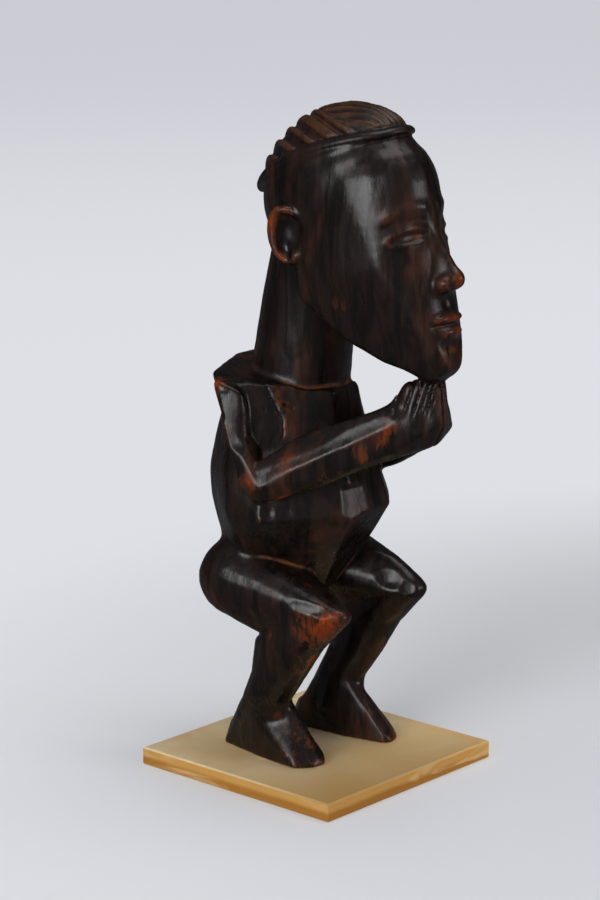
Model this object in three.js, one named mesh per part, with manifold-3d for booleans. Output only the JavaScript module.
// A carved wooden ancestor figure with bent knees and its hands under its chin, on a square acrylic plate.
// Millimetres, +Z up. The origin is the middle of the plate's underside.
// The figure faces -Y, so its left is +X.
import * as THREE from "three";
import { ConvexGeometry } from "three/addons/geometries/ConvexGeometry.js";
import { mergeVertices } from "three/addons/utils/BufferGeometryUtils.js";
import Module from "manifold-3d";

const wasm = await Module();
wasm.setup();

// ---------------------------------------------------------------- driving dimensions

const PLATE_SIDE = 80;
const PLATE_THICK = 6;
const PLATE_CHAMFER = 0.5;
const FIGURE_YAW = THREE.MathUtils.degToRad(4); // the figure stands slightly turned on its plate
const SOLE = PLATE_THICK + 0.1; // the soles stop just short of the plate
const STEP = 2.2; // the right foot stands this far behind its mirror place, and the left foot this far ahead

// Legs, in the figure's own frame: [half-width x, y, z], with a radius where the mass is round
const HIP = [20.8, 15.3, 65, 12.9];
const SHAFT = [
  [15.6, 8, 14, 5.6, 12],
  [17.5, 5.1, 25, 6.5, 8.7],
  [19.5, -0.7, 35, 6.8, 9.8],
  [20.5, -5, 46, 7.5, 12.6],
]; // sections of the lower leg: [x, y, z, radius in x, radius in y]

const NECK = [
  [0, 7.2, 122, 16.3],
  [0, 3.4, 152, 14.8],
  [0, 0.3, 168, 14.2],
]; // [x, y, z, radius], leaning forward as it rises

// Head: it has its own frame, [sideways, forward, up], with up = 0 at the level of the eyes
const HEAD_AT = [0, -6.8, 169];
const HEAD_TILT = THREE.MathUtils.degToRad(15);
const SKULL = { at: [0, 8.7, 18.5], radii: [20.2, 29, 23], roll: -0.22 };
const BROW = { at: [0, 15.5, 15], radii: [19.5, 25.8, 21.5] };
const HAIR = { at: [0, 7.9, 20.9], radii: [19, 29.8, 23], roll: -0.26 };
const BAND_AT = [0, 7.9, 29.6];
const BAND_SLOPE = THREE.MathUtils.degToRad(7); // the band runs higher in front
const BAND_WIDTH = 2.8;
const RIBS = 6; // slanting ribs on each side of the back of the hair
const RIB_START = -9.9;
const RIB_PITCH = 6.8; // along the middle of the head
const RIB_WIDTH = 1.5;
const RIB_SWEEP = [0.9, 0.78]; // how far the ribs run forward as they run outwards, and down
const RIDGE = [-3.1, 2.4]; // the wide ridge before them: its place and width
const CROWN = 44; // the level, up from the eyes, at which those places are
const LOBE_AT = [0, 1.6, CROWN]; // the point of the grooved lobe in front of the ribs
const LOBE_GROOVES = [-10.2, -6.8, -3.4, 0, 3.4, 6.8, 10.2];

// Fixings
const SCREW_AT = [16.5, 6]; // half-width x and y of each screw
const SCREW_RADIUS = 1.5;
const SCREW_HEAD_RADIUS = 2.8;
const SCREW_LENGTH = 18;
const SCREW_SUNK = 0.3; // the head lies this far above the plate's underside
const CLEARANCE = 0.25;

// ---------------------------------------------------------------- solids

// A closed geometry as a solid.
function solid(geometry) {
  const bare = geometry.clone();
  bare.deleteAttribute("normal");
  bare.deleteAttribute("uv");
  const merged = mergeVertices(bare, 1e-4);
  return new wasm.Manifold(
    new wasm.Mesh({
      numProp: 3,
      vertProperties: new Float32Array(merged.attributes.position.array),
      triVerts: new Uint32Array(merged.index.array),
    }),
  );
}

// A solid back as a geometry, for a mesh.
function geometryOf(made) {
  const mesh = made.getMesh();
  const geometry = new THREE.BufferGeometry();
  geometry.setAttribute("position", new THREE.BufferAttribute(mesh.vertProperties, 3));
  geometry.setIndex(new THREE.BufferAttribute(mesh.triVerts, 1));
  return geometry;
}

const join = (...solids) => solids.flat().reduce((whole, next) => whole.add(next));

// The flat-sided block round some points, as a knife leaves it.
const block = (...points) => solid(new ConvexGeometry(points.map((p) => new THREE.Vector3(...p))));

// The points of a ball [x, y, z, radius], or the point itself where there is no radius.
function ball([x, y, z, radius = 0]) {
  if (radius === 0) return [[x, y, z]];
  const sphere = new THREE.IcosahedronGeometry(radius, radius > 6 ? 3 : 1).translate(x, y, z);
  const at = mergeVertices(sphere.deleteAttribute("normal").deleteAttribute("uv")).attributes.position;
  return Array.from({ length: at.count }, (_, i) => [at.getX(i), at.getY(i), at.getZ(i)]);
}

// The skin round some balls and points.
const limb = (...balls) => block(...balls.flatMap(ball));

// A level oval section: [x, y, z, radius in x, radius in y].
function section([x, y, z, rx, ry], sides = 14) {
  return Array.from({ length: sides }, (_, i) => {
    const a = (2 * Math.PI * (i + 0.5)) / sides;
    return [x + rx * Math.sin(a), y - ry * Math.cos(a), z];
  });
}

// A knife's V-shaped cut from one point to another, open towards a direction.
function notch(from, to, open, width, depth) {
  const [a, b, out] = [from, to, open].map((p) => new THREE.Vector3(...p));
  out.normalize();
  const across = b.clone().sub(a).cross(out).setLength(width / 2);
  const ends = [a, b].flatMap((p) => [
    p.clone().addScaledVector(out, -depth),
    p.clone().addScaledVector(out, depth).addScaledVector(across, 2),
    p.clone().addScaledVector(out, depth).addScaledVector(across, -2),
  ]);
  return solid(new ConvexGeometry(ends));
}

// The same points on the figure's right (side -1) or left (side 1).
const mirror = (side, points) => points.map(([x, ...rest]) => [side * x, ...rest]);

// Points on both sides.
function both(...points) {
  return points.flatMap(([x, ...rest]) => [
    [-x, ...rest],
    [x, ...rest],
  ]);
}

// ---------------------------------------------------------------- legs

function leg(side) {
  function step([x, y, z, ...rest]) {
    const share = 1 - THREE.MathUtils.smoothstep(z, 12, 56);
    return [x, y - side * STEP * share, z, ...rest];
  }
  const on = (...points) => mirror(side, points).map(step);
  const foot = limb(
    ...on(
      [17.5, 22.3, SOLE],
      [14, 24, SOLE],
      [10.5, 20, SOLE],
      [10.5, 0, SOLE],
      [12.7, -15, SOLE],
      [15, -17.2, SOLE],
      [20, -16.2, SOLE],
      [24.5, -12, SOLE],
      [22.5, 2, SOLE],
      [13.2, -15.5, 8.8],
      [17, -15.5, 9.2],
      [23.6, -10.8, 8.8],
      [12.5, -2, 24],
      [16.5, -2.6, 24.6],
      [22.5, 4, 19],
      [21.6, 9, 15],
      [20, 16, 14.5],
      [15, 21.3, 14],
      [10, 16, 17],
    ),
  );
  const rings = SHAFT.map((ring) => section(step([side * ring[0], ...ring.slice(1)])));
  const shaft = rings.slice(1).map((ring, i) => block(...rings[i], ...ring));
  const knee = on(
    [18, -25, 58.2, 2.6],
    [21.4, -26, 58.4, 2.6],
    [24.2, -23.4, 58.9, 1.6],
    [27.2, -12, 55],
    [13, -20, 57],
  ).flatMap(ball);
  const thigh = limb(
    ...on(
      HIP,
      [11.5, 15, 65.5, 10.8],
      [17.5, -17, 66.5 + side * 1.8],
      [21.5, -17, 66 + side * 1.8],
      [19.5, -23.5, 63 + side * 1.2],
      [25.3, -19, 61.5],
      [28.5, -6, 62],
      [12.5, -14, 63.5],
      [20, 6, 47.6],
      [26, 3, 49.5],
      [14, 4, 49],
    ),
    ...knee,
  );
  const kneecap = block(...rings.at(-1), ...knee, ...on([20, 4, 50], [27, -4, 55], [13, -4, 55]));
  return join(foot, shaft, thigh, kneecap);
}

// ---------------------------------------------------------------- torso

// The left shoulder and arm are carved a little closer in, and lower, than the right ones.
function shift(side, [x, y, z]) {
  if (side < 0) return [-x, y, z];
  const far = THREE.MathUtils.smoothstep(y, -45, -10);
  const drop = 1.5 + 2.5 * THREE.MathUtils.smoothstep(z, 105, 128);
  return [x * (1 - 0.1 * far), y + 2.3 * far, z - far * drop];
}

// Outlines of the torso, from the middle of the front to the middle of the back: [half-width, y, z].
const WAIST = [
  [8, -14.5, 76],
  [20, -5, 75],
  [26.5, 9, 74],
  [20, 22, 74],
  [7, 27, 74],
];
const BELLY_RIDGE = [
  [9.6, -21.8, 88.5],
  [22.4, -12.2, 87.6],
  [32.5, -2.5, 88],
  [32.6, 11, 89],
  [21, 26.5, 90],
  [8, 32.5, 90],
];
const BELLY = [
  [8.3, -19.2, 98],
  [20, -10, 98],
  [30, 0, 98],
  [31.4, 12, 99],
  [21, 27.2, 99],
  [8, 33.4, 99],
];
const CHEST = [
  [8, -14.6, 108],
  [18, -7.6, 108],
  [26, 3, 108],
  [27, 14, 110],
  [19.5, 26, 109],
  [8, 31.8, 110],
];
const COLLAR = [
  [7, -12.8, 117],
  [18.5, -3.8, 117],
  [27, 5.5, 119],
  [26.5, 13, 120],
  [19, 23, 120],
  [8, 29, 121],
];
const YOKE_MIDDLE = [
  [6.5, -11, 126.8],
  [8, 27, 134.2],
];
const YOKE_ENDS = [
  [25, 8, 126.5],
  [32.5, 14, 130.5],
  [28, 20.5, 132.2],
];
const CROTCH = [
  [1.5, -2, 57],
  [3, 16, 52],
];

function torso() {
  const ends = [-1, 1].flatMap((side) => YOKE_ENDS.map((point) => shift(side, point)));
  const levels = [CROTCH, WAIST, BELLY_RIDGE, BELLY, CHEST, COLLAR].map((outline) => both(...outline));
  levels.push([...both(...YOKE_MIDDLE), ...ends]);
  return join(levels.slice(1).map((level, i) => block(...levels[i], ...level)));
}

// ---------------------------------------------------------------- arms

const FINGER_GAPS = [3.3, 5.9, 8.1, 9.9, 11.4]; // the cuts between the fingers, from the heel of the hand
const FINGER_LEAN = 3.6; // how far back their lower ends are

function arm(side) {
  const on = (...points) => points.map((point) => shift(side, point));
  const shoulder = on(
    [32.4, 17.5, 131],
    [33.4, 14, 131],
    [31.6, 11.3, 127.4],
    [29.9, 6.6, 127.8],
    [24, 8.5, 126],
  );
  const upper = on([33.9, 10.6, 115], [34.4, 9.1, 115], [32.6, 6.6, 115], [30.7, 4.2, 113], [24, 5, 114]);
  const crook = on(
    [35.2, 5, 102],
    [34.2, 1.5, 96.2],
    [34.2, -3.4, 99],
    [34, -0.8, 103.1],
    [32.1, -0.8, 103.8],
    [24, 1, 103],
  );
  const elbow = on(
    [35.2, 5, 102],
    [34.2, 1.5, 96.2],
    [34.2, -3.4, 99],
    [32.5, -4.8, 101.8],
    [28.5, -2.5, 103.5],
    [22, 4, 101],
    [31.5, -1, 93.6],
    [29.5, -6, 94.4],
    [24, 4, 96],
  );
  const middle = on(
    [27, -7, 110],
    [22.5, -9.4, 114.3],
    [18.5, -17.5, 117.2],
    [24.4, -21.8, 112],
    [24.6, -20, 102.5],
    [22.5, -18.5, 99.4],
    [15, -10, 107],
  );
  const wrist = on([12, -33, 126], [13.5, -38.8, 121.5], [14, -37, 111], [12, -33, 106.8], [6, -29, 113]);
  const palm = on(
    [10, -43.5, 122],
    [9, -46, 117],
    [8, -42, 111.5],
    [0, -49.5, 120],
    [0, -46, 112.5],
    [0, -36, 116],
    [9.5, -35, 127.5],
  );
  const fingers = on(
    [9, -40.2, 133.3],
    [6, -45.8, 133.4],
    [0, -48.8, 133.4],
    [8.3, -38.5, 132.6],
    [0, -38, 132.5],
  );
  const cuts = FINGER_GAPS.map((gap) => {
    const [top, foot] = [gap, gap - FINGER_LEAN].map((along) => along / 12.5);
    const from = [side * (9 - 9 * top), -40.2 - 8.7 * top, 134];
    const to = [side * (9.6 - 9 * foot), -40.8 - 8.7 * foot, 124];
    return notch(from, to, [0.7 * side, -0.72, 0], 0.9, 0.6);
  });
  const made = join(
    block(...shoulder, ...upper),
    block(...upper, ...crook),
    block(...elbow, ...middle),
    block(...middle, ...wrist),
    block(...wrist, ...palm),
    block(...palm, ...fingers),
  );
  return made.subtract(join(cuts));
}

// ---------------------------------------------------------------- head

const TILT = new THREE.Matrix4().makeRotationX(-HEAD_TILT);
const HEAD = new THREE.Matrix4().makeTranslation(...HEAD_AT).multiply(TILT);
const inHead = ([s, f, u, ...rest]) => [...new THREE.Vector3(s, -f, u).applyMatrix4(HEAD), ...rest];

// An ellipsoid in the head's frame: turn swings its front to the right, roll tips it, grow thickens it.
function eggShape({ at: [s, f, u], radii, turn = 0, roll = 0, detail = 18 }, grow = 0) {
  const [rs, rf, ru] = radii.map((radius) => radius + grow);
  const sphere = new THREE.SphereGeometry(1, Math.round(detail * 1.5), detail).rotateX(Math.PI / 2);
  sphere.scale(rs, rf, ru).rotateX(roll).rotateZ(turn).translate(s, -f, u);
  return sphere.applyMatrix4(HEAD);
}

const egg = (spec, grow) => solid(eggShape(spec, grow));

function pointsOf(geometry) {
  const at = geometry.attributes.position;
  return Array.from({ length: at.count }, (_, i) => [at.getX(i), at.getY(i), at.getZ(i)]);
}

function head() {
  const on = (...points) => both(...points).map(inHead);
  const pair = ({ at: [s, f, u], turn = 0, ...rest }) =>
    [-1, 1].map((side) => egg({ at: [side * s, f, u], turn: side * turn, ...rest }));
  const jaw = on(
    [17.6, 28.5, -8],
    [19.8, 15, -7],
    [20, 2, -2],
    [17.5, -4, -12],
    [9.5, 35.5, -17],
    [9.5, 35, -31],
    [16.4, 4, -19],
    [14.6, 6, -26.5],
    [5.5, 36.8, -38.5],
    [4.5, 36.4, -42.5],
    [6, 31.5, -45.3],
    [12, 18, -36.5],
  );
  const face = block(...pointsOf(eggShape({ ...BROW, detail: 14 })), ...jaw);
  const sockets = pair({ at: [9.4, 41, -0.4], radii: [8, 5.6, 5.2], turn: 0.35, detail: 12 });
  const cheekLines = pair({ at: [13.5, 41.5, -21], radii: [5, 7, 11], turn: 0.5, detail: 12 });
  const eyes = pair({ at: [9.4, 32.6, -0.4], radii: [5.6, 4, 3.3], turn: 0.35, detail: 12 });
  const slits = pair({ at: [9.7, 37.2, -0.8], radii: [4.4, 2, 0.55], turn: 0.35, detail: 8 });
  const nose = on(
    [1.7, 36, 6],
    [0.8, 38.6, 5],
    [1.3, 46, -15],
    [2.4, 45, -17.6],
    [4.7, 39.8, -18.6],
    [4.4, 35, -13],
    [1, 36, -20.4],
  );
  const upperLip = on(
    [8, 34, -28.4],
    [5, 37.6, -26.2],
    [2.2, 39, -24.9],
    [2.4, 39.9, -27.4],
    [0.2, 38.6, -25.6],
    [3, 39, -28.4],
  );
  const lowerLip = on(
    [8, 34, -28.9],
    [3, 38.8, -28.9],
    [3, 39.7, -30.6],
    [5, 37.6, -31.6],
    [2.5, 37.6, -33.4],
  );
  const ears = pair({ at: [19.4, -2, 7], radii: [3.4, 5.8, 8.9], roll: -0.1, turn: -0.25, detail: 12 });
  const hollows = pair({ at: [23.4, 1, 7.6], radii: [5.4, 5.6, 6.6], turn: -0.15, detail: 12 });
  const skull = join(egg(SKULL), face).subtract(join(sockets, cheekLines));
  const neck = NECK.slice(1).map((upper, i) => limb(NECK[i], upper));
  const features = join(join(eyes).subtract(join(slits)), join(ears).subtract(join(hollows)));
  return join(skull, features, block(...nose), block(...upperLip), block(...lowerLip), neck, cap());
}

// A wide board in the head's frame: its middle goes through a point, square to a direction.
function slab(point, direction, thick) {
  const normal = new THREE.Vector3(direction[0], -direction[1], direction[2]).normalize();
  const turned = new THREE.Quaternion().setFromUnitVectors(new THREE.Vector3(0, 0, 1), normal);
  const box = new THREE.BoxGeometry(160, 160, thick).applyQuaternion(turned);
  return solid(box.translate(point[0], -point[1], point[2]).applyMatrix4(HEAD));
}

// Everything past a plane through a point, in the head's frame.
function beyond(point, direction) {
  const length = Math.hypot(...direction);
  return slab(point.map((value, i) => value + (direction[i] / length) * 60), direction, 120);
}

// The hair: a ribbed cap with a rolled band round its edge.
function cap() {
  const up = [0, -Math.sin(BAND_SLOPE), Math.cos(BAND_SLOPE)];
  const crown = beyond(BAND_AT, up);
  const band = egg(HAIR, 1.2).intersect(slab(BAND_AT, up, BAND_WIDTH));
  const hair = egg(HAIR, -0.6).intersect(crown);
  const sweep = (side) => [-side * RIB_SWEEP[0], 1, RIB_SWEEP[1]];
  const ribs = [-1, 1].map((side) => {
    const rows = Array.from({ length: RIBS }, (_, i) => [RIB_START - i * RIB_PITCH, RIB_WIDTH]);
    const boards = [...rows, RIDGE].map(([f, width]) => slab([0, f, CROWN], sweep(side), width));
    return join(boards).intersect(half(side));
  });
  const rear = join(ribs).intersect(egg(HAIR, 0.3)).intersect(crown);
  const [right, left] = [-1, 1].map((side) => beyond(LOBE_AT, sweep(side)));
  const front = egg(HAIR, 0.2).intersect(crown).intersect(right).intersect(left);
  const grooves = join(LOBE_GROOVES.map((s) => slab([s, 0, 0], [1, 0, 0], 0.9)));
  const cut = grooves.intersect(beyond([0, LOBE_AT[1] + 3, CROWN], [0, 1, 0])).subtract(egg(HAIR, -0.5));
  return join(band, hair, rear, front.subtract(cut));
}

// Everything on the figure's right (side -1) or left (side 1).
function half(side) {
  return solid(new THREE.BoxGeometry(80, 200, 200).translate(side * 40, 0, 20).applyMatrix4(HEAD));
}

// ---------------------------------------------------------------- figure

function carvedFigure() {
  const turn = THREE.MathUtils.radToDeg(FIGURE_YAW);
  const whole = join(torso(), leg(-1), leg(1), arm(-1), arm(1), head()).rotate([0, 0, turn]);
  return whole.subtract(join(screwHole(-1), screwHole(1)));
}

// ---------------------------------------------------------------- plate and screws

// A countersunk screw with its head down, its point up, from the level of its head's face; grow thickens it.
function screw(length, grow = 0) {
  const r = SCREW_RADIUS + grow;
  const h = SCREW_HEAD_RADIUS + grow;
  const rise = [0, 0, 0.5, 0.5 + h - r, length - 2.5, length];
  const profile = [0, h, h, r, r, 0].map((x, i) => new THREE.Vector2(x, rise[i]));
  return new THREE.LatheGeometry(profile, 32).rotateX(Math.PI / 2);
}

// Where each foot's screw stands: the figure is turned on the plate and one foot is ahead of the other.
function screwPlace(side) {
  const [x, y] = SCREW_AT;
  const up = new THREE.Vector3(0, 0, 1);
  return new THREE.Vector3(side * x, y - side * STEP, 0).applyAxisAngle(up, FIGURE_YAW);
}

// The drive: a cross pressed into the head's face.
function footScrew(side) {
  const blade = () => new THREE.BoxGeometry(3.2, 0.8, 3.2);
  const cross = join(solid(blade()), solid(blade().rotateZ(Math.PI / 2)));
  const place = screwPlace(side);
  return solid(screw(SCREW_LENGTH)).subtract(cross).translate([place.x, place.y, SCREW_SUNK]);
}

// The same screw grown by the clearance, run out through the plate's underside.
function screwHole(side) {
  const place = screwPlace(side);
  const radius = SCREW_HEAD_RADIUS + CLEARANCE;
  const mouth = new THREE.CylinderGeometry(radius, radius, 2, 32).rotateX(Math.PI / 2).translate(0, 0, -0.9);
  const hole = join(solid(screw(SCREW_LENGTH + 0.6, CLEARANCE)), solid(mouth));
  return hole.translate([place.x, place.y, SCREW_SUNK]);
}

function basePlate() {
  const half = PLATE_SIDE / 2 - PLATE_CHAMFER;
  const outline = new THREE.Shape();
  outline.moveTo(-half, -half).lineTo(half, -half).lineTo(half, half).lineTo(-half, half).closePath();
  const blank = new THREE.ExtrudeGeometry(outline, {
    depth: PLATE_THICK - 2 * PLATE_CHAMFER,
    bevelThickness: PLATE_CHAMFER,
    bevelSize: PLATE_CHAMFER,
    bevelSegments: 1,
  }).translate(0, 0, PLATE_CHAMFER);
  return solid(blank).subtract(join(screwHole(-1), screwHole(1)));
}

const wood = new THREE.MeshStandardMaterial({ color: 0x2a1a14, roughness: 0.38, metalness: 0 });
const acrylic = new THREE.MeshStandardMaterial({ color: 0xd9a85a, roughness: 0.08, metalness: 0 });
acrylic.transparent = true;
acrylic.opacity = 0.5;
const steel = new THREE.MeshStandardMaterial({ color: 0x9a9a96, roughness: 0.35, metalness: 1 });

function part(name, made, material) {
  const mesh = new THREE.Mesh(geometryOf(made), material);
  mesh.name = name;
  return mesh;
}

const object = new THREE.Group();
object.add(part("carved_figure", carvedFigure(), wood));
object.add(part("base_plate", basePlate(), acrylic));
object.add(part("right_foot_screw", footScrew(-1), steel));
object.add(part("left_foot_screw", footScrew(1), steel));

export default object;
